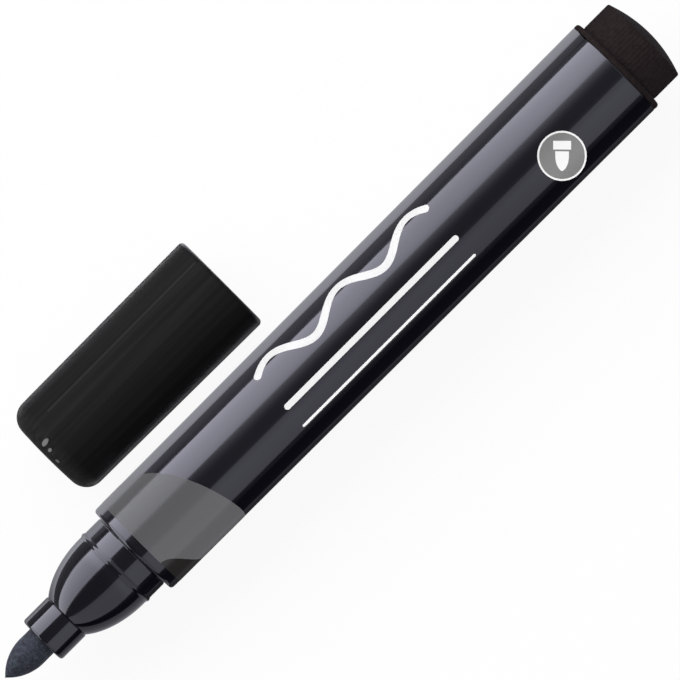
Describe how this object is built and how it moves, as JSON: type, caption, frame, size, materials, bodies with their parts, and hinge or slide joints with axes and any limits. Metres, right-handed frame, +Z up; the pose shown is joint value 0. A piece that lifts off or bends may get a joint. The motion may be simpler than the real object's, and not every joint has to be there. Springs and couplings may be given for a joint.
{
  "type": "permanent marker",
  "caption": "Round plastic permanent marker with a bullet nib, a domed nose with a snap bead, a serrated end plug and a push-on cap lying beside it.",
  "frame": {"origin": "on the surface that the marker and its cap lie on, under the middle of the whole", "axes": "+X along the marker from its nib to its end plug, +Y from the marker to its cap, +Z up"},
  "size_m": [0.127, 0.0336, 0.016],
  "materials": {
    "gloss_body": "glossy injection-moulded polypropylene, blue-black",
    "nib_felt": "pressed felt soaked with black ink",
    "reservoir_fibre": "bonded polyester fibre soaked with ink",
    "reservoir_film": "thin clear film",
    "plug_plastic": "matt moulded plastic, brown-black",
    "cap_plastic": "satin injection-moulded polypropylene, black",
    "inner_cap_plastic": "natural polypropylene"
  },
  "bodies": {
    "marker": {"barrel": "gloss_body", "nose_section": "gloss_body", "nib": "nib_felt", "reservoir_core": "reservoir_fibre", "reservoir_wrap": "reservoir_film", "end_plug": "plug_plastic"},
    "cap": {"cap_shell": "cap_plastic", "inner_cap": "inner_cap_plastic"}
  },
  "joints": [
    {"name": "cap_slide", "type": "slide", "parent": "marker", "child": "cap", "axis": [-1, 0, 0], "range_m": [0, 0.062]}
  ]
}
